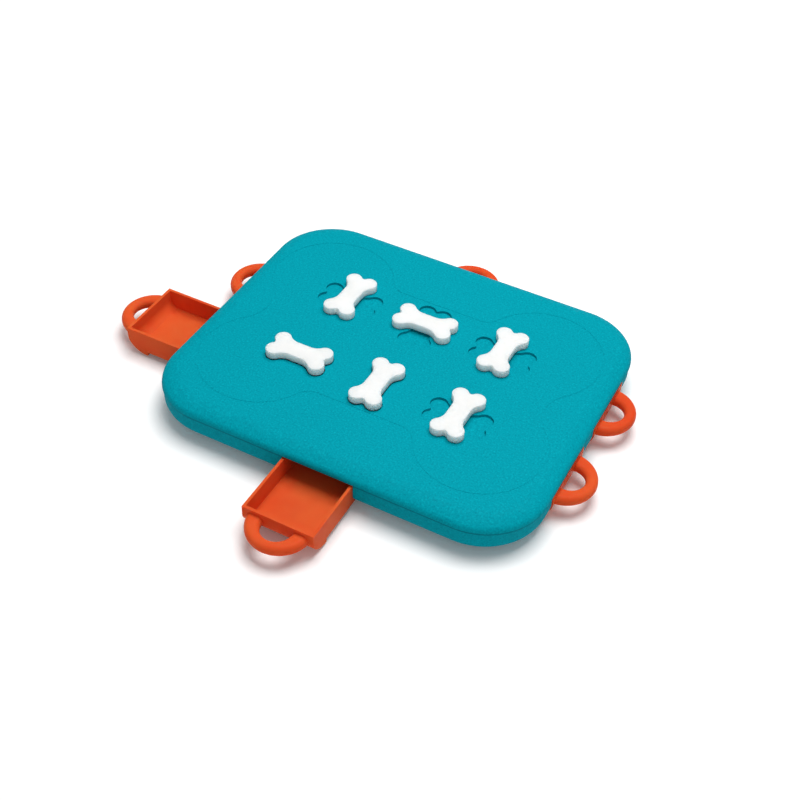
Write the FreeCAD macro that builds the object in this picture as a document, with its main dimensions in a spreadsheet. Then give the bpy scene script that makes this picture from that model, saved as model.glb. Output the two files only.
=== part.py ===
import FreeCAD, Part
import Sketcher
import math
import os
from collections import namedtuple

from FreeCAD import Placement, Rotation, Vector

# A puzzle board that hides treats in six drawers round its edge. Each drawer has a bone-shaped
# turn-lock on the lid. Millimetres, +Z up. The origin is the centre of the board on the table.

SIZES = {
    "board_length": 330.0,
    "board_width": 272.0,
    "board_height": 36.0,
    "corner_radius": 53.0,
    "seam_level": 27.0,
    "seam_gap": 0.5,
    "lid_skin": 4.5,
    "lid_edge_across": 16.0,
    "lid_side_radius": 6.0,
    "skin_lap": 1.0,
    "underside_level": 2.0,
    "base_inset": 0.8,
    "base_wall": 3.4,
    "base_edge_across": 18.2,
    "base_edge_drop": 14.7,
    "base_side_radius": 11.5,
    "row_offset": 41.8,
    "drawer_width": 60.5,
    "drawer_depth": 99.2,
    "drawer_wall": 2.3,
    "drawer_panel": 2.4,
    "panel_proud": 1.0,
    "drawer_floor": 2.3,
    "drawer_side_gap": 0.5,
    "drawer_lift": 0.3,
    "rim_drop": 1.9,
    "cavity_corner": 2.0,
    "drawer_travel": 55.0,
    "handle_thickness": 9.4,
    "handle_round": 4.2,
    "handle_half_width": 26.0,
    "handle_reach": 22.6,
    "loop_half_width": 12.5,
    "loop_reach": 13.3,
    "handle_root": 2.1,
    "rail_thickness": 2.4,
    "rail_gap": 0.4,
    "rail_height": 2.6,
    "rail_start": 10.0,
    "back_stop_gap": 0.4,
    "lock_gap": 0.5,
    "spindle_diameter": 8.0,
    "spindle_gap": 0.08,
    "boss_radius": 8.0,
    "boss_drop": 1.2,
    "cam_gap": 0.4,
    "cam_thickness": 3.3,
    "cam_web": 1.5,
    "hub_radius": 6.5,
    "flange_radius": 9.0,
    "flange_face": 3.6,
    "arm_length": 17.0,
    "arm_width": 6.0,
    "key_side": 5.0,
    "key_gap": 0.05,
    "catch_start": 9.6,
    "catch_width": 6.4,
    "stop_gap": 0.3,
    "stop_nub_width": 6.6,
    "stop_nub_depth": 2.7,
    "stop_rib_depth": 3.0,
    "stop_rib_width": 10.0,
    "stop_rib_drop": 4.9,
    "hold_rib_width": 1.8,
    "hold_rib_gap": 0.3,
    "hold_rib_inset": 2.0,
    "bone_gap": 0.5,
    "bone_thickness": 6.7,
    "bone_round": 0.7,
    "bone_lobe_along": 19.4,
    "bone_lobe_across": 7.2,
    "bone_lobe_radius": 6.8,
    "bone_notch_radius": 2.5,
    "bone_waist": 8.0,
    "bone_waist_radius": 11.85,
    "socket_clearance": 0.6,
    "socket_depth": 2.2,
    "line_lobe_along": 97.0,
    "line_lobe_across": 58.0,
    "line_lobe_radius": 52.0,
    "line_notch_radius": 32.6,
    "line_waist": 71.5,
    "line_waist_radius": 15.0,
    "line_width": 1.6,
    "line_depth": 0.2,
    "cam_screw_shank": 2.4,
    "cam_screw_head": 6.0,
    "cam_screw_head_height": 1.7,
    "cam_screw_length": 9.0,
    "pilot_gap": 0.05,
    "head_gap": 0.2,
    "case_screw_shank": 2.9,
    "case_screw_head": 6.4,
    "case_screw_head_height": 2.0,
    "case_screw_length": 20.0,
    "drive_slot_width": 0.9,
    "drive_slot_length": 3.6,
    "drive_slot_depth": 1.0,
    "screw_hole_gap": 0.3,
    "screw_corner_x": 104.0,
    "screw_corner_y": 98.0,
    "screw_middle_x": 47.8,
    "screw_middle_y": 84.0,
    "screw_side_x": 118.0,
    "post_radius": 5.0,
    "lid_boss_radius": 4.5,
    "post_top": 20.0,
    "foot_radius": 7.0,
    "foot_recess": 1.0,
    "foot_recess_gap": 0.1,
    "foot_chamfer": 0.6,
    "foot_x": 130.0,
    "foot_y": 92.0,
}

# A drawer's outward direction is an angle about +Z. Its bone either lies across that direction or
# along it, in its socket, and "pulled" says whether the drawer stands open at rest.
Station = namedtuple("Station", "name outward side row pulled")
STATIONS = [
    Station("left_back", 180, -1, 1, False),
    Station("left_front", 180, -1, -1, True),
    Station("right_back", 0, 1, 1, False),
    Station("right_front", 0, 1, -1, False),
    Station("back", 90, 0, 1, False),
    Station("front", -90, 0, -1, True),
]

doc = FreeCAD.newDocument("puzzle_feeder")
sheet = doc.addObject("Spreadsheet::Sheet", "Sizes")
for row, (alias, number) in enumerate(SIZES.items(), start=1):
    sheet.set(f"A{row}", alias.replace("_", " "))
    sheet.set(f"B{row}", str(number))
    sheet.setAlias(f"B{row}", alias)
doc.recompute()


class Term:
    """A number together with the sheet expression that gives it."""

    def __init__(self, value, text):
        self.value = float(value)
        self.text = text

    def __add__(self, other):
        other = term(other)
        return Term(self.value + other.value, f"({self.text} + {other.text})")

    def __sub__(self, other):
        other = term(other)
        return Term(self.value - other.value, f"({self.text} - {other.text})")

    def __mul__(self, other):
        other = term(other)
        return Term(self.value * other.value, f"({self.text} * {other.text})")

    def __truediv__(self, other):
        other = term(other)
        return Term(self.value / other.value, f"({self.text} / {other.text})")

    def __neg__(self):
        return Term(-self.value, f"(0 - {self.text})")


def term(number):
    """A plain number as a Term; a Term stays as it is."""
    if isinstance(number, Term):
        return number
    return Term(number, str(number))


S = {alias: Term(number, f"Sizes.{alias}") for alias, number in SIZES.items()}

half_length = S["board_length"] / 2
half_width = S["board_width"] / 2
lid_under = S["board_height"] - S["lid_skin"]
base_top = S["seam_level"] - S["seam_gap"]
floor_top = S["underside_level"] + S["base_wall"]
tray_under = floor_top + S["drawer_lift"]
tray_floor = tray_under + S["drawer_floor"]
rim_level = S["seam_level"] - S["rim_drop"]
boss_bottom = lid_under - S["boss_drop"]
cam_top = boss_bottom - S["cam_gap"]
cam_bottom = cam_top - S["cam_thickness"]
web_bottom = cam_top - S["cam_web"]
bone_bottom = S["board_height"] + S["bone_gap"]
bone_top = bone_bottom + S["bone_thickness"]
half_drawer = S["drawer_width"] / 2
drawer_back = S["base_inset"] + S["drawer_depth"]
foot_depth = S["base_inset"] + S["base_edge_across"]
panel_face = S["panel_proud"] - S["base_inset"]
spindle_inset = drawer_back - S["drawer_wall"] - S["lock_gap"] - S["arm_width"] / 2
foot_top = S["underside_level"] + S["foot_recess"]

Edge = namedtuple("Edge", "index start end")


def new_body(name):
    """An empty body whose label names its file."""
    body = doc.addObject("PartDesign::Body", name)
    body.Label = name
    return body


def new_sketch(body, name, plane="XY_Plane", level=None):
    """A sketch on one of the body's own origin planes, raised to a level."""
    sketch = body.newObject("Sketcher::SketchObject", name)
    support = [item for item in body.Origin.OriginFeatures if item.Role == plane][0]
    sketch.AttachmentSupport = (support, "")
    sketch.MapMode = "FlatFace"
    if level is not None:
        sketch.setExpression("AttachmentOffset.Base.z", level.text)
    return sketch


def bind(sketch, constraint, value):
    """Add a constraint whose number follows the sheet."""
    index = sketch.addConstraint(constraint)
    sketch.setExpression(f"Constraints[{index}]", value.text)


def pin_x(sketch, index, point, x):
    bind(sketch, Sketcher.Constraint("DistanceX", -1, 1, index, point, x.value), x)


def pin_y(sketch, index, point, y):
    bind(sketch, Sketcher.Constraint("DistanceY", -1, 1, index, point, y.value), y)


def pin(sketch, index, point, x, y):
    """Fix a point of the sketch at x, y."""
    pin_x(sketch, index, point, x)
    pin_y(sketch, index, point, y)


def fix_radius(sketch, edge, radius):
    bind(sketch, Sketcher.Constraint("Radius", edge.index, radius.value), radius)


def line(sketch, first, last):
    """A straight edge between two points given as pairs of numbers."""
    index = sketch.addGeometry(Part.LineSegment(Vector(*first, 0), Vector(*last, 0)))
    return Edge(index, 1, 2)


def arc(sketch, centre, radius, first, last):
    """An arc from one angle to another in degrees; it runs clockwise where last is the smaller."""
    low, high = sorted((math.radians(first), math.radians(last)))
    circle = Part.Circle(Vector(*centre, 0), Vector(0, 0, 1), radius)
    index = sketch.addGeometry(Part.ArcOfCircle(circle, low, high))
    return Edge(index, 1, 2) if last > first else Edge(index, 2, 1)


def join(sketch, one, other, smooth=False):
    """Join the end of one edge to the start of another, in line where smooth."""
    kind = "Tangent" if smooth else "Coincident"
    sketch.addConstraint(Sketcher.Constraint(kind, one.index, one.end, other.index, other.start))


def rectangle(sketch, left, bottom, right, top):
    """An upright rectangle between two pinned corners."""
    corners = [(left, bottom), (right, bottom), (right, top), (left, top)]
    points = [(x.value, y.value) for x, y in corners]
    sides = [line(sketch, points[i], points[(i + 1) % 4]) for i in range(4)]
    for i in range(4):
        join(sketch, sides[i], sides[(i + 1) % 4])
    for i in range(4):
        kind = "Vertical" if i % 2 else "Horizontal"
        sketch.addConstraint(Sketcher.Constraint(kind, sides[i].index))
    pin(sketch, sides[0].index, 1, left, bottom)
    pin(sketch, sides[2].index, 1, right, top)


def circle(sketch, x, y, radius):
    """A full circle at a pinned centre."""
    shape = Part.Circle(Vector(x.value, y.value, 0), Vector(0, 0, 1), radius.value)
    index = sketch.addGeometry(shape)
    pin(sketch, index, 3, x, y)
    fix_radius(sketch, Edge(index, 1, 1), radius)


def board_outline(sketch, inset):
    """The board's rounded rectangle, drawn in by an inset; it starts at the middle of the right side."""
    a = half_length - inset
    b = half_width - inset
    radius = S["corner_radius"] - inset
    cx = a - radius
    cy = b - radius
    edges = [line(sketch, (a.value, 0), (a.value, cy.value))]
    for turn, (sx, sy) in enumerate(((1, 1), (-1, 1), (-1, -1), (1, -1))):
        centre = (sx * cx.value, sy * cy.value)
        corner = arc(sketch, centre, radius.value, 90 * turn, 90 * turn + 90)
        fix_radius(sketch, corner, radius)
        pin(sketch, corner.index, 3, cx * sx, cy * sy)
        after = [
            ((cx.value, b.value), (-cx.value, b.value)),
            ((-a.value, cy.value), (-a.value, -cy.value)),
            ((-cx.value, -b.value), (cx.value, -b.value)),
            ((a.value, -cy.value), (a.value, 0)),
        ][turn]
        edges += [corner, line(sketch, *after)]
    for one, other in zip(edges, edges[1:]):
        join(sketch, one, other, smooth=True)
    join(sketch, edges[-1], edges[0])
    pin_x(sketch, edges[0].index, 1, a)
    sketch.addConstraint(Sketcher.Constraint("PointOnObject", edges[0].index, 1, -1))


def bone_outline(sketch, form, grow, x=0.0, y=0.0, turned=False):
    """A bone along the sketch's X axis, or along Y where turned. form names a family of sizes."""
    x = term(x)
    y = term(y)
    along = S[f"{form}_lobe_along"]
    across = S[f"{form}_lobe_across"]
    lobe = S[f"{form}_lobe_radius"] + grow
    notch = S[f"{form}_notch_radius"] - grow
    waist = S[f"{form}_waist"] + grow
    waist_radius = S[f"{form}_waist_radius"] - grow
    reach = lobe.value + notch.value
    notch_at = along.value + math.sqrt(reach ** 2 - across.value ** 2)
    waist_y = waist.value + waist_radius.value
    waist_reach = lobe.value + waist_radius.value
    waist_at = along.value - math.sqrt(waist_reach ** 2 - (waist_y - across.value) ** 2)
    turn = 90 if turned else 0
    notch_angle = math.degrees(math.atan2(across.value, notch_at - along.value))
    waist_angle = math.degrees(math.atan2(waist_y - across.value, along.value - waist_at))

    def place(px, py):
        if turned:
            return (x.value - py, y.value + px)
        return (x.value + px, y.value + py)

    edges = []
    for half in (0, 1):
        sign = -1 if half else 1
        spin = turn + 180 * half
        centre = place(sign * along.value, -sign * across.value)
        low = arc(sketch, centre, lobe.value, spin - 180 + waist_angle, spin + notch_angle)
        centre = place(sign * notch_at, 0)
        end = arc(sketch, centre, notch.value, spin + 180 + notch_angle, spin + 180 - notch_angle)
        centre = place(sign * along.value, sign * across.value)
        high = arc(sketch, centre, lobe.value, spin - notch_angle, spin + 180 - waist_angle)
        centre = place(sign * waist_at, sign * waist_y)
        neck_in = arc(sketch, centre, waist_radius.value, spin + 360 - waist_angle, spin + 270)
        first = place(sign * waist_at, sign * waist.value)
        last = place(-sign * waist_at, sign * waist.value)
        side = line(sketch, first, last)
        centre = place(-sign * waist_at, sign * waist_y)
        neck_out = arc(sketch, centre, waist_radius.value, spin + 270, spin + 180 + waist_angle)
        for lobe_edge, flank in ((low, -sign), (high, sign)):
            fix_radius(sketch, lobe_edge, lobe)
            if turned:
                pin(sketch, lobe_edge.index, 3, x - across * flank, y + along * sign)
            else:
                pin(sketch, lobe_edge.index, 3, x + along * sign, y + across * flank)
        fix_radius(sketch, end, notch)
        fix_radius(sketch, neck_in, waist_radius)
        fix_radius(sketch, neck_out, waist_radius)
        if turned:
            sketch.addConstraint(Sketcher.Constraint("Vertical", side.index))
            pin_x(sketch, side.index, 1, x - waist * sign)
        else:
            sketch.addConstraint(Sketcher.Constraint("Horizontal", side.index))
            pin_y(sketch, side.index, 1, y + waist * sign)
        edges += [low, end, high, neck_in, side, neck_out]
    for i, edge in enumerate(edges):
        join(sketch, edge, edges[(i + 1) % len(edges)], smooth=True)


def edge_radius(across, drop, side):
    """Radius of the flat arc that meets a tight side arc, for an edge so far across and down."""
    flat = (across.value - side.value) ** 2 + drop.value ** 2 - side.value ** 2
    return flat / (2 * (drop.value - side.value))


def pad(body, name, sketch, length, midplane=False, down=False):
    """Pad a sketch by a length, upwards, downwards or to both sides alike."""
    feature = body.newObject("PartDesign::Pad", name)
    feature.Profile = sketch
    feature.setExpression("Length", length.text)
    feature.Midplane = midplane
    feature.Reversed = down
    sketch.Visibility = False
    return feature


def pocket(body, name, sketch, length, midplane=False, up=False):
    """Pocket a sketch by a length, downwards, upwards or to both sides alike; it has to cut."""
    doc.recompute()
    before = body.Shape.Volume
    feature = body.newObject("PartDesign::Pocket", name)
    feature.Profile = sketch
    feature.setExpression("Length", length.text)
    feature.Midplane = midplane
    feature.Reversed = up
    doc.recompute()
    if not body.Shape.Volume < before - 1e-3:
        raise RuntimeError(f"{name} cuts nothing")


def chosen_edges(feature, wanted):
    """Names of the edges of a feature that the function wanted picks."""
    doc.recompute()
    return [f"Edge{i + 1}" for i, edge in enumerate(feature.Shape.Edges) if wanted(edge)]


def round_edges(body, name, feature, radius, wanted):
    """Fillet the edges of a feature that the function wanted picks."""
    chosen = chosen_edges(feature, wanted)
    fillet = body.newObject("PartDesign::Fillet", name)
    fillet.Base = (feature, chosen)
    fillet.setExpression("Radius", radius.text)


def chamfer_edges(body, name, feature, size, wanted):
    """Chamfer the edges of a feature that the function wanted picks."""
    chosen = chosen_edges(feature, wanted)
    chamfer = body.newObject("PartDesign::Chamfer", name)
    chamfer.Base = (feature, chosen)
    chamfer.setExpression("Size", size.text)


def wall_ring(body, path_inset, section):
    """Sweep a wall section round the board's outline."""
    path = new_sketch(body, "outline_path")
    board_outline(path, path_inset)
    ring = body.newObject("PartDesign::AdditivePipe", "wall")
    ring.Profile = section
    doc.recompute()
    ring.Spine = (path, [f"Edge{i + 1}" for i in range(len(path.Shape.Edges))])


def station_frame(station):
    """A function from (distance in from the edge, offset to the left of outward) to (x, y)."""
    def place(inward, offset):
        if station.side:
            x = (half_length - inward) * station.side
            y = S["row_offset"] * station.row + offset * station.side
            return x, y
        return -(offset * station.row), (half_width - inward) * station.row
    return place


def station_rectangle(sketch, place, near, far, low, high):
    """A rectangle in a station's own directions: near to far inwards, low to high sideways."""
    x0, y0 = place(near, low)
    x1, y1 = place(far, high)
    left, right = (x0, x1) if x0.value < x1.value else (x1, x0)
    bottom, top = (y0, y1) if y0.value < y1.value else (y1, y0)
    rectangle(sketch, left, bottom, right, top)


def every_station(sketch, near, far, low, high):
    """The same rectangle at all six stations."""
    for station in STATIONS:
        station_rectangle(sketch, station_frame(station), near, far, low, high)


def every_spindle(sketch, radius):
    """A circle round each spindle's axis."""
    for station in STATIONS:
        x, y = station_frame(station)(spindle_inset, term(0))
        circle(sketch, x, y, radius)


def every_screw(sketch, radius):
    """A circle at each of the ten case screws."""
    places = [(S["screw_corner_x"], S["screw_corner_y"]), (S["screw_middle_x"], S["screw_middle_y"])]
    for x, y in places:
        for sx, sy in ((1, 1), (-1, 1), (-1, -1), (1, -1)):
            circle(sketch, x * sx, y * sy, radius)
    for sx in (1, -1):
        circle(sketch, S["screw_side_x"] * sx, term(0), radius)


def every_foot(sketch, radius):
    """A circle at each of the five rubber feet."""
    circle(sketch, term(0), term(0), radius)
    for sx in (1, -1):
        for sy in (1, -1):
            circle(sketch, S["foot_x"] * sx, S["foot_y"] * sy, radius)


def make_lid():
    """The top shell: a skin with a pebble edge, sockets, bosses, stops and hold-down ribs."""
    body = new_body("lid")
    section = new_sketch(body, "wall_section", "XZ_Plane")
    top = S["board_height"]
    skin = S["lid_skin"]
    side_radius = S["lid_side_radius"]
    across = S["lid_edge_across"]
    flat_radius = edge_radius(across, top - S["seam_level"], side_radius)
    side_x = half_length - side_radius
    flat_x = half_length - across
    flat_z = top.value - flat_radius
    angle = math.degrees(math.atan2(S["seam_level"].value - flat_z, side_x.value - flat_x.value))
    inner_x = flat_x - S["skin_lap"]
    side = arc(section, (side_x.value, S["seam_level"].value), side_radius.value, 0, angle)
    crown = arc(section, (flat_x.value, flat_z), flat_radius, angle, 90)
    over = line(section, (flat_x.value, top.value), (inner_x.value, top.value))
    down = line(section, (inner_x.value, top.value), (inner_x.value, lid_under.value))
    back = line(section, (inner_x.value, lid_under.value), (flat_x.value, lid_under.value))
    under = arc(section, (flat_x.value, flat_z), flat_radius - skin.value, 90, angle)
    centre = (side_x.value, S["seam_level"].value)
    inside = arc(section, centre, side_radius.value - skin.value, angle, 0)
    foot = line(section, ((half_length - skin).value, S["seam_level"].value),
                (half_length.value, S["seam_level"].value))
    pin(section, side.index, 3, side_x, S["seam_level"])
    fix_radius(section, side, side_radius)
    pin_y(section, side.index, side.start, S["seam_level"])
    pin_x(section, crown.index, 3, flat_x)
    pin(section, crown.index, crown.end, flat_x, top)
    join(section, side, crown, smooth=True)
    join(section, crown, over)
    join(section, over, down)
    join(section, down, back)
    join(section, back, under)
    join(section, under, inside, smooth=True)
    join(section, inside, foot)
    join(section, foot, side)
    section.addConstraint(Sketcher.Constraint("Coincident", under.index, 3, crown.index, 3))
    section.addConstraint(Sketcher.Constraint("Coincident", inside.index, 3, side.index, 3))
    pin(section, down.index, 1, inner_x, top)
    pin(section, down.index, 2, inner_x, lid_under)
    pin(section, under.index, under.start, flat_x, lid_under)
    pin_y(section, inside.index, inside.end, S["seam_level"])
    wall_ring(body, term(0), section)

    plate = new_sketch(body, "plate_outline", level=lid_under)
    board_outline(plate, across)
    pad(body, "plate", plate, skin)

    for station in STATIONS:
        x, y = station_frame(station)(spindle_inset, term(0))
        sketch = new_sketch(body, f"socket_outline_{station.name}", level=top)
        bone_outline(sketch, "bone", S["socket_clearance"], x, y, turned=not station.side)
        pocket(body, f"socket_{station.name}", sketch, S["socket_depth"])
    groove = new_sketch(body, "bone_line", level=top)
    bone_outline(groove, "line", S["line_width"] / 2)
    bone_outline(groove, "line", -(S["line_width"] / 2))
    pocket(body, "bone_groove", groove, S["line_depth"])

    spindle_bosses = new_sketch(body, "spindle_boss_outlines", level=lid_under)
    every_spindle(spindle_bosses, S["boss_radius"])
    pad(body, "spindle_bosses", spindle_bosses, S["boss_drop"], down=True)
    screw_bosses = new_sketch(body, "screw_boss_outlines", level=lid_under)
    every_screw(screw_bosses, S["lid_boss_radius"])
    pad(body, "screw_bosses", screw_bosses, lid_under - S["post_top"], down=True)

    hold_drop = lid_under - rim_level - S["hold_rib_gap"]
    holds = new_sketch(body, "hold_rib_outlines", level=lid_under)
    outer = half_drawer - S["stop_gap"]
    hold_start = foot_depth + S["hold_rib_inset"]
    hold_end = drawer_back - S["hold_rib_inset"]
    inner = outer - S["hold_rib_width"]
    every_station(holds, hold_start, hold_end, inner, outer)
    every_station(holds, hold_start, hold_end, -outer, -inner)
    pad(body, "hold_ribs", holds, hold_drop, down=True)

    stops = new_sketch(body, "stop_outlines", level=lid_under)
    catch_face = drawer_back - S["drawer_wall"]
    rib_face = catch_face - S["drawer_travel"] - S["stop_gap"]
    rib_low = S["catch_start"] - S["stop_gap"]
    every_station(stops, rib_face - S["stop_rib_depth"], rib_face, rib_low,
                  rib_low + S["stop_rib_width"])
    nub_near = spindle_inset + S["hub_radius"] + S["stop_gap"]
    half_nub = S["stop_nub_width"] / 2
    every_station(stops, nub_near, nub_near + S["stop_nub_depth"], -half_nub, half_nub)
    pad(body, "stops", stops, S["stop_rib_drop"] - S["stop_gap"], down=True)

    bores = new_sketch(body, "spindle_bore_outlines", level=top)
    every_spindle(bores, S["spindle_diameter"] / 2 + S["spindle_gap"])
    pocket(body, "spindle_bores", bores, S["lid_skin"] + S["boss_drop"])
    pilots = new_sketch(body, "pilot_outlines", level=S["post_top"])
    every_screw(pilots, S["case_screw_shank"] / 2 + S["pilot_gap"])
    pocket(body, "screw_pilots", pilots, lid_under - S["post_top"], up=True)
    return body


def lower_edge(sketch, face_x):
    """The curved lower edge below an upright face: the tight arc and the flat one, tangent."""
    across = S["base_edge_across"]
    drop = S["base_edge_drop"]
    side_radius = S["base_side_radius"]
    flat_radius = edge_radius(across, drop, side_radius)
    bend = S["underside_level"] + drop
    side_x = face_x - side_radius
    flat_x = face_x - across
    flat_z = S["underside_level"].value + flat_radius
    angle = math.degrees(math.atan2(flat_z - bend.value, (across - side_radius).value))
    side = arc(sketch, (side_x.value, bend.value), side_radius.value, 0, -angle)
    flat = arc(sketch, (flat_x.value, flat_z), flat_radius, -angle, -90)
    pin(sketch, side.index, 3, side_x, bend)
    fix_radius(sketch, side, side_radius)
    pin_y(sketch, side.index, side.start, bend)
    pin_x(sketch, flat.index, 3, flat_x)
    pin(sketch, flat.index, flat.end, flat_x, S["underside_level"])
    join(sketch, side, flat, smooth=True)
    return side, flat, angle, flat_z, flat_radius


def make_base():
    """The lower shell: a curved wall and floor, drawer slots, guide rails, back stops and posts."""
    body = new_body("base")
    section = new_sketch(body, "wall_section", "XZ_Plane")
    face = half_length - S["base_inset"]
    wall = S["base_wall"]
    bend = S["underside_level"] + S["base_edge_drop"]
    flat_x = face - S["base_edge_across"]
    side_x = face - S["base_side_radius"]
    lap_x = flat_x - S["skin_lap"]
    side, flat, angle, flat_z, flat_radius = lower_edge(section, face)
    inner_face = face - wall
    upright = line(section, (face.value, base_top.value), (face.value, bend.value))
    under = line(section, (flat_x.value, S["underside_level"].value),
                 (lap_x.value, S["underside_level"].value))
    rise = line(section, (lap_x.value, S["underside_level"].value), (lap_x.value, floor_top.value))
    over = line(section, (lap_x.value, floor_top.value), (flat_x.value, floor_top.value))
    inner_flat = arc(section, (flat_x.value, flat_z), flat_radius - wall.value, -90, -angle)
    inner_side = arc(section, (side_x.value, bend.value), S["base_side_radius"].value - wall.value,
                     -angle, 0)
    inner = line(section, (inner_face.value, bend.value), (inner_face.value, base_top.value))
    rim = line(section, (inner_face.value, base_top.value), (face.value, base_top.value))
    pin(section, upright.index, 1, face, base_top)
    join(section, upright, side)
    join(section, flat, under)
    join(section, under, rise)
    join(section, rise, over)
    join(section, over, inner_flat)
    join(section, inner_flat, inner_side, smooth=True)
    join(section, inner_side, inner)
    join(section, inner, rim)
    join(section, rim, upright)
    pin(section, rise.index, 1, lap_x, S["underside_level"])
    pin(section, rise.index, 2, lap_x, floor_top)
    section.addConstraint(Sketcher.Constraint("Coincident", inner_flat.index, 3, flat.index, 3))
    section.addConstraint(Sketcher.Constraint("Coincident", inner_side.index, 3, side.index, 3))
    pin(section, inner_flat.index, inner_flat.start, flat_x, floor_top)
    pin_y(section, inner_side.index, inner_side.end, bend)
    section.addConstraint(Sketcher.Constraint("Vertical", inner.index))
    pin_y(section, inner.index, 2, base_top)
    wall_ring(body, S["base_inset"], section)

    floor = new_sketch(body, "floor_outline", level=S["underside_level"])
    board_outline(floor, foot_depth)
    pad(body, "floor", floor, wall)

    rails = new_sketch(body, "rail_outlines", level=floor_top)
    rail_in = half_drawer + S["rail_gap"]
    rail_out = rail_in + S["rail_thickness"]
    stop_near = drawer_back + S["back_stop_gap"]
    every_station(rails, S["rail_start"], stop_near, rail_in, rail_out)
    every_station(rails, S["rail_start"], stop_near, -rail_out, -rail_in)
    pad(body, "guide_rails", rails, S["rail_height"])
    backs = new_sketch(body, "back_stop_outlines", level=floor_top)
    every_station(backs, stop_near, stop_near + S["rail_thickness"], -rail_out, rail_out)
    pad(body, "back_stops", backs, S["rail_height"])
    posts = new_sketch(body, "post_outlines", level=floor_top)
    every_screw(posts, S["post_radius"])
    pad(body, "screw_posts", posts, S["post_top"] - floor_top)

    slots = new_sketch(body, "slot_outlines", level=S["board_height"])
    half_slot = half_drawer + S["drawer_side_gap"]
    slot_end = foot_depth + S["drawer_side_gap"]
    every_station(slots, -S["base_inset"], slot_end, -half_slot, half_slot)
    pocket(body, "drawer_slots", slots, S["board_height"])

    heads = new_sketch(body, "counterbore_outlines", level=S["underside_level"])
    every_screw(heads, S["case_screw_head"] / 2 + S["head_gap"])
    pocket(body, "counterbores", heads, S["case_screw_head_height"] + S["head_gap"], up=True)
    holes = new_sketch(body, "screw_hole_outlines", level=S["post_top"])
    every_screw(holes, S["case_screw_shank"] / 2 + S["screw_hole_gap"])
    pocket(body, "screw_holes", holes, S["post_top"])
    recesses = new_sketch(body, "foot_recess_outlines", level=S["underside_level"])
    every_foot(recesses, S["foot_radius"] + S["foot_recess_gap"])
    pocket(body, "foot_recesses", recesses, S["foot_recess"], up=True)
    return body


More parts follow.
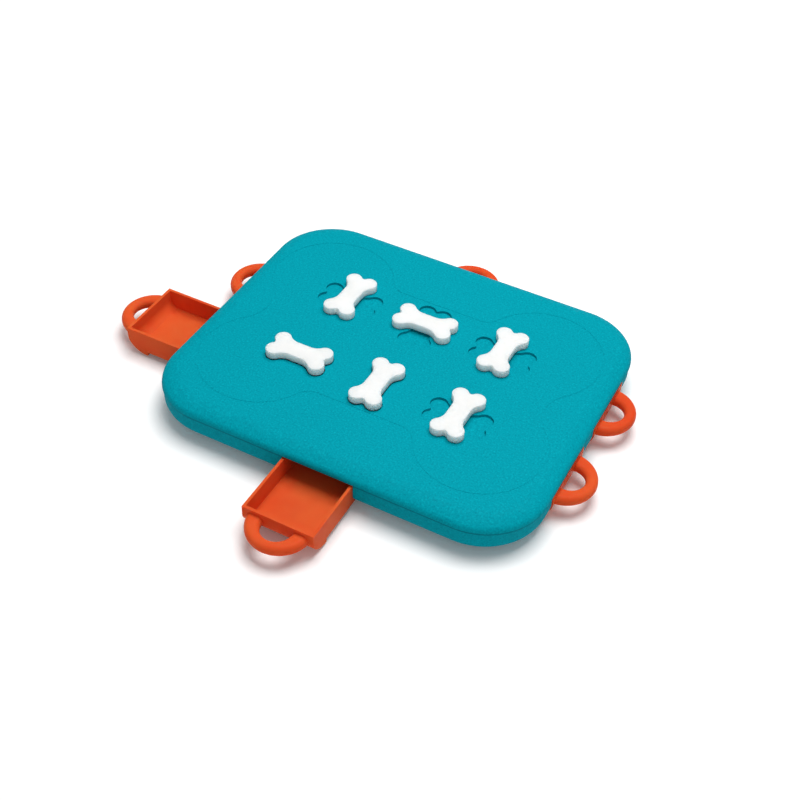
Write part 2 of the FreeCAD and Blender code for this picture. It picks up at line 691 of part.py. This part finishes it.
def make_drawer(station):
    """A tray in its own frame: +X is outward and X = 0 is the board's edge with the drawer shut."""
    body = new_body(f"drawer_{station.name}")
    profile = new_sketch(body, "side_profile", "XZ_Plane")
    side, flat, _, _, _ = lower_edge(profile, panel_face)
    bend = S["underside_level"] + S["base_edge_drop"]
    step_x = panel_face - S["base_edge_across"]
    front = line(profile, (panel_face.value, rim_level.value), (panel_face.value, bend.value))
    step = line(profile, (step_x.value, S["underside_level"].value), (step_x.value, tray_under.value))
    under = line(profile, (step_x.value, tray_under.value), (-drawer_back.value, tray_under.value))
    rear = line(profile, (-drawer_back.value, tray_under.value), (-drawer_back.value, rim_level.value))
    rim = line(profile, (-drawer_back.value, rim_level.value), (panel_face.value, rim_level.value))
    pin(profile, front.index, 1, panel_face, rim_level)
    join(profile, front, side)
    join(profile, flat, step)
    join(profile, step, under)
    join(profile, under, rear)
    join(profile, rear, rim)
    join(profile, rim, front)
    pin(profile, step.index, 2, step_x, tray_under)
    pin(profile, rear.index, 1, -drawer_back, tray_under)
    pin(profile, rear.index, 2, -drawer_back, rim_level)
    block = pad(body, "tray_block", profile, S["drawer_width"], midplane=True)
    round_edges(body, "back_corners", block, S["cavity_corner"], lambda edge: upright_at(edge, -drawer_back))

    bottom = bend - S["handle_thickness"] / 2
    loop = new_sketch(body, "handle_outline", level=bottom)
    root = panel_face - S["handle_root"]
    arms = []
    for half, reach in ((S["handle_half_width"], S["handle_reach"]),
                        (S["loop_half_width"], S["loop_reach"])):
        offset = (half * half - reach * reach) / (reach * 2)
        radius = reach + offset
        centre_x = panel_face - offset
        arms.append((centre_x, radius))
    (outer_x, outer_radius), (inner_x, inner_radius) = arms
    outer_open = math.degrees(math.acos((root - outer_x).value / outer_radius.value))
    inner_open = math.degrees(math.acos((root - inner_x).value / inner_radius.value))
    outer = arc(loop, (outer_x.value, 0), outer_radius.value, -outer_open, outer_open)
    inner = arc(loop, (inner_x.value, 0), inner_radius.value, inner_open, -inner_open)
    outer_y = outer_radius.value * math.sin(math.radians(outer_open))
    inner_y = inner_radius.value * math.sin(math.radians(inner_open))
    top_arm = line(loop, (root.value, outer_y), (root.value, inner_y))
    low_arm = line(loop, (root.value, -inner_y), (root.value, -outer_y))
    for bow, centre_x, radius in ((outer, outer_x, outer_radius), (inner, inner_x, inner_radius)):
        pin_x(loop, bow.index, 3, centre_x)
        loop.addConstraint(Sketcher.Constraint("PointOnObject", bow.index, 3, -1))
        fix_radius(loop, bow, radius)
        pin_x(loop, bow.index, 1, root)
        pin_x(loop, bow.index, 2, root)
    join(loop, outer, top_arm)
    join(loop, top_arm, inner)
    join(loop, inner, low_arm)
    join(loop, low_arm, outer)
    handle = pad(body, "handle", loop, S["handle_thickness"])
    round_edges(body, "handle_round", handle, S["handle_round"], rings_handle)

    cavity = new_sketch(body, "cavity_profile", "XZ_Plane")
    panel = S["drawer_panel"]
    inner_face = panel_face - panel
    cavity_back = -(drawer_back - S["drawer_wall"])
    bow_radius = S["base_side_radius"] - panel
    bow_x = panel_face - S["base_side_radius"]
    over = rim_level + S["rim_drop"]
    fall = math.degrees(math.asin((bend - tray_floor).value / bow_radius.value))
    foot_x = bow_x.value + bow_radius.value * math.cos(math.radians(fall))
    front_in = line(cavity, (inner_face.value, over.value), (inner_face.value, bend.value))
    bow = arc(cavity, (bow_x.value, bend.value), bow_radius.value, 0, -fall)
    floor = line(cavity, (foot_x, tray_floor.value), (cavity_back.value, tray_floor.value))
    rear_in = line(cavity, (cavity_back.value, tray_floor.value), (cavity_back.value, over.value))
    top = line(cavity, (cavity_back.value, over.value), (inner_face.value, over.value))
    pin(cavity, front_in.index, 1, inner_face, over)
    pin(cavity, front_in.index, 2, inner_face, bend)
    pin(cavity, bow.index, 3, bow_x, bend)
    join(cavity, front_in, bow)
    join(cavity, bow, floor)
    join(cavity, floor, rear_in)
    join(cavity, rear_in, top)
    join(cavity, top, front_in)
    cavity.addConstraint(Sketcher.Constraint("Horizontal", floor.index))
    pin(cavity, rear_in.index, 1, cavity_back, tray_floor)
    pin(cavity, rear_in.index, 2, cavity_back, over)
    inside = S["drawer_width"] - S["drawer_wall"] * 2
    pocket(body, "cavity", cavity, inside, midplane=True)

    catch = new_sketch(body, "catch_outline", level=rim_level)
    rectangle(catch, -drawer_back, S["catch_start"], cavity_back, S["catch_start"] + S["catch_width"])
    pad(body, "catch", catch, cam_top - rim_level)

    x, y = station_frame(station)(term(0), term(0))
    turn = math.radians(station.outward)
    open_by = S["drawer_travel"] if station.pulled else term(0)
    body.Placement = Placement(Vector(), Rotation(Vector(0, 0, 1), station.outward))
    body.setExpression("Placement.Base.x", (x + open_by * round(math.cos(turn))).text)
    body.setExpression("Placement.Base.y", (y + open_by * round(math.sin(turn))).text)
    return body


def upright_at(edge, x):
    """Whether an edge stands upright in the plane at x."""
    box = edge.BoundBox
    return abs(box.XMin - x.value) < 1e-4 and abs(box.XMax - x.value) < 1e-4 and box.YLength < 1e-4


def rings_handle(edge):
    """Whether an edge is one of the four curved rims of the finger loop."""
    box = edge.BoundBox
    return box.ZLength < 1e-4 and box.XMax > panel_face.value + S["loop_reach"].value / 2


def rest_angle(station):
    """Angle of a bone and its cam about +Z: across the pull when shut, outward when pulled."""
    return station.outward - (0 if station.pulled else 90)


def place_on_spindle(body, station):
    """Stand a body that is drawn round its spindle at its station."""
    x, y = station_frame(station)(spindle_inset, term(0))
    body.Placement = Placement(Vector(), Rotation(Vector(0, 0, 1), rest_angle(station)))
    body.setExpression("Placement.Base.x", x.text)
    body.setExpression("Placement.Base.y", y.text)


def make_bone(station):
    """A bone-shaped turn button with its spindle, whose square end drives the cam."""
    body = new_body(f"bone_{station.name}")
    outline = new_sketch(body, "bone_outline", level=bone_bottom)
    bone_outline(outline, "bone", term(0))
    button = pad(body, "button", outline, S["bone_thickness"])
    round_edges(body, "top_round", button, S["bone_round"], lambda edge: level_at(edge, bone_top))
    shaft = new_sketch(body, "spindle_outline", level=cam_top)
    circle(shaft, term(0), term(0), S["spindle_diameter"] / 2)
    pad(body, "spindle", shaft, bone_bottom - cam_top)
    key = new_sketch(body, "key_outline", level=cam_top)
    half_key = S["key_side"] / 2
    rectangle(key, -half_key, -half_key, half_key, half_key)
    pad(body, "key", key, S["cam_web"] - S["key_gap"], down=True)
    pilot = new_sketch(body, "pilot_outline", level=web_bottom)
    circle(pilot, term(0), term(0), S["cam_screw_shank"] / 2 + S["pilot_gap"])
    pocket(body, "screw_pilot", pilot, S["cam_screw_length"] + S["cam_gap"], up=True)
    place_on_spindle(body, station)
    return body


def level_at(edge, level):
    """Whether an edge lies flat at a level."""
    box = edge.BoundBox
    return abs(box.ZMin - level.value) < 1e-4 and abs(box.ZMax - level.value) < 1e-4


def make_cam(station):
    """The lock cam: a hub with a stop flange and one arm, drawn along +X."""
    body = new_body(f"lock_cam_{station.name}")
    outline = new_sketch(body, "cam_outline", level=cam_bottom)
    flange = S["flange_radius"]
    hub = S["hub_radius"]
    face = S["flange_face"]
    half_arm = S["arm_width"] / 2
    tip = S["arm_length"] - half_arm
    arm_angle = math.degrees(math.asin(half_arm.value / flange.value))
    face_angle = math.degrees(math.acos(face.value / flange.value))
    hub_angle = math.degrees(math.acos(face.value / hub.value))
    arm_x = flange.value * math.cos(math.radians(arm_angle))
    flange_y = flange.value * math.sin(math.radians(face_angle))
    hub_y = hub.value * math.sin(math.radians(hub_angle))
    origin = (0, 0)
    left = arc(outline, origin, flange.value, arm_angle, face_angle)
    left_face = line(outline, (face.value, flange_y), (face.value, hub_y))
    round_back = arc(outline, origin, hub.value, hub_angle, 360 - hub_angle)
    right_face = line(outline, (face.value, -hub_y), (face.value, -flange_y))
    right = arc(outline, origin, flange.value, -face_angle, -arm_angle)
    right_side = line(outline, (arm_x, -half_arm.value), (tip.value, -half_arm.value))
    nose = arc(outline, (tip.value, 0), half_arm.value, -90, 90)
    left_side = line(outline, (tip.value, half_arm.value), (arm_x, half_arm.value))
    edges = [left, left_face, round_back, right_face, right, right_side, nose, left_side]
    for i, edge in enumerate(edges):
        after = edges[(i + 1) % len(edges)]
        join(outline, edge, after, smooth=nose in (edge, after))
    for bow, radius in ((left, flange), (round_back, hub), (right, flange)):
        outline.addConstraint(Sketcher.Constraint("Coincident", bow.index, 3, -1, 1))
        fix_radius(outline, bow, radius)
    for flat in (left_face, right_face):
        outline.addConstraint(Sketcher.Constraint("Vertical", flat.index))
        pin_x(outline, flat.index, 1, face)
    for flat, offset in ((right_side, -half_arm), (left_side, half_arm)):
        outline.addConstraint(Sketcher.Constraint("Horizontal", flat.index))
        pin_y(outline, flat.index, 1, offset)
    pin_x(outline, nose.index, 3, tip)
    pad(body, "cam", outline, S["cam_thickness"])

    hole = new_sketch(body, "key_hole_outline", level=cam_top)
    half_hole = S["key_side"] / 2 + S["key_gap"]
    rectangle(hole, -half_hole, -half_hole, half_hole, half_hole)
    pocket(body, "key_hole", hole, S["cam_web"])
    seat = new_sketch(body, "screw_seat_outline", level=cam_bottom)
    circle(seat, term(0), term(0), S["cam_screw_head"] / 2 + S["head_gap"])
    pocket(body, "screw_seat", seat, S["cam_thickness"] - S["cam_web"], up=True)
    place_on_spindle(body, station)
    return body


def screw_features(body, places, head_level, head, head_height, shank, length):
    """Pan-head screws that point up: heads below head_level and shanks above it."""
    heads = new_sketch(body, "head_outlines", level=head_level)
    places(heads, head / 2)
    pad(body, "heads", heads, head_height, down=True)
    shanks = new_sketch(body, "shank_outlines", level=head_level)
    places(shanks, shank / 2)
    pad(body, "shanks", shanks, length)


def at_origin(sketch, radius):
    """One circle at the origin."""
    circle(sketch, term(0), term(0), radius)


def make_cam_screw(station):
    """The screw that holds a cam to its spindle."""
    body = new_body(f"cam_screw_{station.name}")
    screw_features(body, at_origin, web_bottom, S["cam_screw_head"], S["cam_screw_head_height"],
                   S["cam_screw_shank"], S["cam_screw_length"])
    slot = new_sketch(body, "slot_outline", level=web_bottom - S["cam_screw_head_height"])
    half_long = S["drive_slot_length"] / 2
    half_wide = S["drive_slot_width"] / 2
    rectangle(slot, -half_long, -half_wide, half_long, half_wide)
    pocket(body, "slot", slot, S["drive_slot_depth"], up=True)
    place_on_spindle(body, station)
    return body


def make_case_screws():
    """The ten screws that hold the two shells together, driven from below."""
    body = new_body("case_screws")
    seat = S["underside_level"] + S["case_screw_head_height"] + S["head_gap"]
    screw_features(body, every_screw, seat, S["case_screw_head"], S["case_screw_head_height"],
                   S["case_screw_shank"], S["case_screw_length"])
    return body


def make_feet():
    """Five rubber feet, set into the underside."""
    body = new_body("rubber_feet")
    outlines = new_sketch(body, "foot_outlines")
    every_foot(outlines, S["foot_radius"])
    feet = pad(body, "feet", outlines, foot_top)
    chamfer_edges(body, "tread_edge", feet, S["foot_chamfer"], lambda edge: level_at(edge, term(0)))
    return body


nodes = [make_lid(), make_base()]
for station in STATIONS:
    nodes.append(make_drawer(station))
    nodes.append(make_bone(station))
    nodes.append(make_cam(station))
    nodes.append(make_cam_screw(station))
nodes.append(make_case_screws())
nodes.append(make_feet())
doc.recompute()

for item in doc.Objects:
    if "Invalid" in item.State or "Error" in item.State:
        raise RuntimeError(f"{item.Label} failed: {item.State}")
for node in nodes:
    if node.Shape.isNull() or not node.Shape.isValid():
        raise RuntimeError(f"{node.Label} has no valid shape")

os.makedirs("parts", exist_ok=True)
for node in nodes:
    node.Shape.exportStep(f"parts/{node.Label}.step")
    print(node.Label, len(node.Shape.Solids), round(node.Shape.Volume, 1))
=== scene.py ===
import math

import bpy
from mathutils import Matrix, Vector

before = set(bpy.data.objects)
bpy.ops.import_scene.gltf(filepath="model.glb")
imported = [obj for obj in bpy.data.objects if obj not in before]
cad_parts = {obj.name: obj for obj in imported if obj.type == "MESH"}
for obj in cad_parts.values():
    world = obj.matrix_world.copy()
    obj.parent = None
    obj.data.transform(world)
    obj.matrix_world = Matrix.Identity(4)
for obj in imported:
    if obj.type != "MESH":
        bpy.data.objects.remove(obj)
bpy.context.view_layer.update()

STATIONS = ("left_back", "left_front", "right_back", "right_front", "back", "front")

# The camera, fitted to the photograph's outline: metres and degrees in the object's frame.
LID_TOP = 0.036
CAMERA_AZIMUTH = 25.82
CAMERA_ELEVATION = 43.78
CAMERA_ROLL = 2.75
CAMERA_DISTANCE = 1.01894
CAMERA_SIDE = -0.00120
CAMERA_UP = -0.03551
CAMERA_REACH = 20.0
FOCAL_PIXELS = 1258.8
IMAGE_PIXELS = 800
SENSOR = 36.0

# The lamps, in metres and watts, and the surroundings.
OVERHEAD = {"place": (0.08, 0.28, 1.5), "size": 1.0, "power": 22.8}
FRONT_FILL = {"place": (0.7, -1.6, 0.75), "size": 1.0, "power": 2.8}
WORLD_STRENGTH = 0.28

# Colours are written as linear light.
WHITE = (1.0, 1.0, 1.0)
TEAL = (0.0, 0.312, 0.392)
TEAL_LIGHT = (0.002, 0.420, 0.505)
TEAL_DARK = (0.0, 0.215, 0.285)
# The painted shade in the parting line between lid and base.
PAINTED_SEAM_SHADE = (0.0, 0.080, 0.105)
ORANGE = (0.73, 0.110, 0.028)
ORANGE_DEEP = (0.69, 0.074, 0.020)
BONE_WHITE = (0.875, 0.875, 0.86)
BONE_SHADE = (0.83, 0.83, 0.81)
CAM_GREY = (0.42, 0.43, 0.43)
STEEL = (0.56, 0.57, 0.58)
RUBBER = (0.018, 0.018, 0.02)
FLOOR_WHITE = (0.86, 0.86, 0.86)

# The floor: its half width, and its glow to the camera near the object and far from it.
FLOOR_REACH = 6.0
GLOW_RADII = (0.4, 1.6)
GLOW_STRENGTHS = (0.045, 0.5)

# Painted shade along the parting line between base and lid: how dark it gets, and the heights over
# which it comes and goes.
PAINTED_SEAM_DEPTH = 0.85
SEAM_START = (0.0246, 0.0262)
SEAM_END = (0.0269, 0.0274)

# Where most of a noise texture's values lie.
NOISE_SPAN = (0.3, 0.7)

# The Mix node's colour sockets, by index because its socket names repeat.
MIX_FIRST = 6
MIX_SECOND = 7
MIX_RESULT = 2


def rgba(colour):
    return (*colour, 1.0)


def shaded(colour, share):
    """A colour with each part scaled."""
    return tuple(share * part for part in colour)


def make_camera():
    """Stand the camera where the photograph was taken from."""
    azimuth = math.radians(CAMERA_AZIMUTH)
    elevation = math.radians(CAMERA_ELEVATION)
    roll = math.radians(CAMERA_ROLL)
    back = Vector((math.sin(azimuth) * math.cos(elevation),
                   -math.cos(azimuth) * math.cos(elevation),
                   math.sin(elevation)))
    level = Vector((math.cos(azimuth), math.sin(azimuth), 0.0))
    upright = back.cross(level)
    right = level * math.cos(roll) + upright * math.sin(roll)
    up = upright * math.cos(roll) - level * math.sin(roll)
    place = back * CAMERA_DISTANCE + right * CAMERA_SIDE + up * CAMERA_UP
    place.z += LID_TOP
    data = bpy.data.cameras.new("camera")
    data.sensor_width = SENSOR
    data.lens = FOCAL_PIXELS * SENSOR / IMAGE_PIXELS
    data.clip_end = CAMERA_REACH
    camera = bpy.data.objects.new("camera", data)
    bpy.context.scene.collection.objects.link(camera)
    turn = Matrix((right, up, back)).transposed().to_4x4()
    camera.matrix_world = Matrix.Translation(place) @ turn
    bpy.context.scene.camera = camera


def area_light(name, place, size, power):
    """A square soft light that faces the middle of the board."""
    data = bpy.data.lights.new(name, "AREA")
    data.shape = "SQUARE"
    data.size = size
    data.energy = power
    light = bpy.data.objects.new(name, data)
    light.location = place
    aim = -Vector(place)
    light.rotation_euler = aim.to_track_quat("-Z", "Y").to_euler()
    bpy.context.scene.collection.objects.link(light)


class Graph:
    """A material's node tree, with short calls to add and link its nodes."""

    def __init__(self, name):
        self.material = bpy.data.materials.new(name)
        self.material.use_nodes = True
        self.tree = self.material.node_tree
        self.tree.nodes.clear()
        self.output = self.add("ShaderNodeOutputMaterial")

    def add(self, kind, **settings):
        node = self.tree.nodes.new(kind)
        for key, value in settings.items():
            setattr(node, key, value)
        return node

    def feed(self, socket, value):
        """Link another node's output to a socket, or write a plain value there."""
        if isinstance(value, bpy.types.NodeSocket):
            self.tree.links.new(value, socket)
        else:
            socket.default_value = value

    def position(self):
        """The object's own coordinates, in metres."""
        return self.add("ShaderNodeTexCoord").outputs["Object"]

    def height(self, where):
        """The height above the table, in metres."""
        node = self.add("ShaderNodeSeparateXYZ")
        self.feed(node.inputs["Vector"], where)
        return node.outputs["Z"]

    def distance(self, where):
        """The distance from the origin, in metres."""
        node = self.add("ShaderNodeVectorMath", operation="LENGTH")
        self.feed(node.inputs[0], where)
        return node.outputs["Value"]

    def noise(self, where, scale, detail=2.0, roughness=0.5):
        node = self.add("ShaderNodeTexNoise")
        self.feed(node.inputs["Vector"], where)
        self.feed(node.inputs["Scale"], scale)
        self.feed(node.inputs["Detail"], detail)
        self.feed(node.inputs["Roughness"], roughness)
        return node.outputs["Fac"]

    def calculate(self, operation, first, second):
        """Two values through a Math node, held between 0 and 1."""
        node = self.add("ShaderNodeMath", operation=operation, use_clamp=True)
        self.feed(node.inputs[0], first)
        self.feed(node.inputs[1], second)
        return node.outputs["Value"]

    def remap(self, value, source, target):
        """Carry one range of values over to another, and hold it at the ends."""
        node = self.add("ShaderNodeMapRange")
        for key, number in zip(("From Min", "From Max", "To Min", "To Max"), (*source, *target)):
            self.feed(node.inputs[key], number)
        self.feed(node.inputs["Value"], value)
        return node.outputs["Result"]

    def uneven(self, where, scale, detail, low, high):
        """A value that drifts between low and high over the surface."""
        return self.remap(self.noise(where, scale, detail), NOISE_SPAN, (low, high))

    def mottle(self, where, scale, detail, first, second, span=NOISE_SPAN):
        """Two colours that run into each other in soft patches."""
        node = self.add("ShaderNodeValToRGB")
        for element, position, colour in zip(node.color_ramp.elements, span, (first, second)):
            element.position = position
            element.color = rgba(colour)
        self.feed(node.inputs["Fac"], self.noise(where, scale, detail))
        return node.outputs["Color"]

    def mix(self, factor, first, second):
        """Blend two colours by a factor."""
        node = self.add("ShaderNodeMix", data_type="RGBA")
        self.feed(node.inputs["Factor"], factor)
        self.feed(node.inputs[MIX_FIRST], first)
        self.feed(node.inputs[MIX_SECOND], second)
        return node.outputs[MIX_RESULT]

    def bump(self, height, distance, strength):
        node = self.add("ShaderNodeBump")
        self.feed(node.inputs["Strength"], strength)
        self.feed(node.inputs["Distance"], distance)
        self.feed(node.inputs["Height"], height)
        return node.outputs["Normal"]

    def shader(self, **inputs):
        """The principled shader: each argument names a socket, with _ for a space."""
        node = self.add("ShaderNodeBsdfPrincipled")
        for key, value in inputs.items():
            self.feed(node.inputs[key.replace("_", " ")], value)
        self.feed(self.output.inputs["Surface"], node.outputs["BSDF"])
        return self.material


def speckled_shell():
    """Matte teal composite: a fine sandy grain over an even colour, with painted shade along the parting
    line.
    """
    g = Graph("speckled_shell")
    where = g.position()
    cloud = g.mottle(where, 9.0, 2.0, shaded(TEAL, 0.965), TEAL)
    grain = g.noise(where, scale=720.0, detail=3.0, roughness=0.7)
    light_grain = g.remap(grain, (0.53, 0.70), (0.0, 0.9))
    dark_grain = g.remap(grain, (0.47, 0.30), (0.0, 0.9))
    darkened = g.mix(dark_grain, cloud, rgba(TEAL_DARK))
    grained = g.mix(light_grain, darkened, rgba(TEAL_LIGHT))
    # Painted shade: a band of heights at the parting line is darkened, standing in for the shadow in the
    # joint.
    height = g.height(where)
    painted_seam = g.calculate("MULTIPLY", g.remap(height, SEAM_START, (0.0, PAINTED_SEAM_DEPTH)),
                       g.remap(height, SEAM_END, (1.0, 0.0)))
    return g.shader(Base_Color=g.mix(painted_seam, grained, rgba(PAINTED_SEAM_SHADE)),
                    Roughness=g.uneven(where, 300.0, 2.0, low=0.55, high=0.70),
                    Normal=g.bump(grain, distance=0.0002, strength=0.45),
                    Specular_IOR_Level=0.02)


def tray_plastic():
    """Orange moulded plastic with faint flow marks that lets a little red light through."""
    g = Graph("tray_plastic")
    where = g.position()
    return g.shader(Base_Color=g.mottle(where, 24.0, 3.0, ORANGE_DEEP, ORANGE, span=(0.35, 0.62)),
                    Roughness=g.uneven(where, 160.0, 3.0, low=0.28, high=0.40),
                    Normal=g.bump(g.noise(where, 700.0), distance=0.00012, strength=0.35),
                    Specular_IOR_Level=0.02,
                    Subsurface_Weight=0.45,
                    Subsurface_Scale=0.008,
                    Subsurface_Radius=(1.0, 0.25, 0.1))


def bone_plastic():
    """White moulded plastic with a dry, slightly uneven skin."""
    g = Graph("bone_plastic")
    where = g.position()
    return g.shader(Base_Color=g.mottle(where, 60.0, 3.0, BONE_SHADE, BONE_WHITE, span=(0.3, 0.6)),
                    Roughness=g.uneven(where, 220.0, 3.0, low=0.42, high=0.56),
                    Normal=g.bump(g.noise(where, 800.0), distance=0.00012, strength=0.3),
                    Specular_IOR_Level=0.3,
                    Subsurface_Weight=0.85,
                    Subsurface_Scale=0.009,
                    Subsurface_Radius=(1.0, 0.95, 0.9))


def cam_plastic():
    """Grey engineering plastic."""
    g = Graph("cam_plastic")
    where = g.position()
    return g.shader(Base_Color=g.mottle(where, 90.0, 2.0, shaded(CAM_GREY, 0.85), CAM_GREY),
                    Roughness=g.uneven(where, 300.0, 2.0, low=0.34, high=0.5),
                    Normal=g.bump(g.noise(where, 900.0), distance=0.0001, strength=0.3))


def screw_steel():
    """Zinc-plated steel with a fine, uneven grain."""
    g = Graph("screw_steel")
    where = g.position()
    return g.shader(Base_Color=g.mottle(where, 400.0, 3.0, shaded(STEEL, 0.8), STEEL),
                    Roughness=g.uneven(where, 900.0, 2.0, low=0.24, high=0.4),
                    Normal=g.bump(g.noise(where, 1500.0), distance=0.00005, strength=0.4),
                    Metallic=1.0)


def foot_rubber():
    """Dark rubber with a dusty skin."""
    g = Graph("foot_rubber")
    where = g.position()
    return g.shader(Base_Color=g.mottle(where, 200.0, 3.0, RUBBER, shaded(RUBBER, 1.8), span=(0.35, 0.7)),
                    Roughness=g.uneven(where, 500.0, 2.0, low=0.7, high=0.85),
                    Normal=g.bump(g.noise(where, 900.0), distance=0.0001, strength=0.4))


def floor_paper():
    """A pale floor that looks white to the camera and keeps the object's shadow."""
    g = Graph("floor_paper")
    where = g.position()
    paper = g.mottle(where, 6.0, 2.0, shaded(FLOOR_WHITE, 0.985), FLOOR_WHITE)
    rays = g.add("ShaderNodeLightPath").outputs
    mirrored = g.calculate("ADD", rays["Is Glossy Ray"], rays["Is Transmission Ray"])
    seen = g.calculate("ADD", rays["Is Camera Ray"], mirrored)
    glow = g.remap(g.distance(where), GLOW_RADII, GLOW_STRENGTHS)
    return g.shader(Base_Color=g.mix(seen, paper, rgba(WHITE)),
                    Roughness=0.9,
                    Specular_IOR_Level=0.1,
                    Emission_Color=rgba(WHITE),
                    Emission_Strength=g.calculate("MULTIPLY", seen, glow))


def dress(node, material):
    """Give a CAD node its finish."""
    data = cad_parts[node].data
    data.materials.clear()
    data.materials.append(material)


def make_floor():
    """A large flat floor under the feet."""
    mesh = bpy.data.meshes.new("floor")
    corners = [(-FLOOR_REACH, -FLOOR_REACH, 0.0), (FLOOR_REACH, -FLOOR_REACH, 0.0),
               (FLOOR_REACH, FLOOR_REACH, 0.0), (-FLOOR_REACH, FLOOR_REACH, 0.0)]
    mesh.from_pydata(corners, [], [(0, 1, 2, 3)])
    mesh.materials.append(floor_paper())
    floor = bpy.data.objects.new("floor", mesh)
    bpy.context.scene.collection.objects.link(floor)


def make_world():
    """Even white surroundings."""
    world = bpy.data.worlds.new("studio")
    world.use_nodes = True
    background = world.node_tree.nodes["Background"]
    background.inputs["Color"].default_value = rgba(WHITE)
    background.inputs["Strength"].default_value = WORLD_STRENGTH
    bpy.context.scene.world = world


make_camera()
make_world()
make_floor()
area_light("overhead", **OVERHEAD)
area_light("front_fill", **FRONT_FILL)

shell = speckled_shell()
dress("lid", shell)
dress("base", shell)
tray = tray_plastic()
bone = bone_plastic()
cam = cam_plastic()
steel = screw_steel()
for station in STATIONS:
    dress(f"drawer_{station}", tray)
    dress(f"bone_{station}", bone)
    dress(f"lock_cam_{station}", cam)
    dress(f"cam_screw_{station}", steel)
dress("case_screws", steel)
dress("rubber_feet", foot_rubber())

bpy.context.scene.view_settings.view_transform = "Standard"
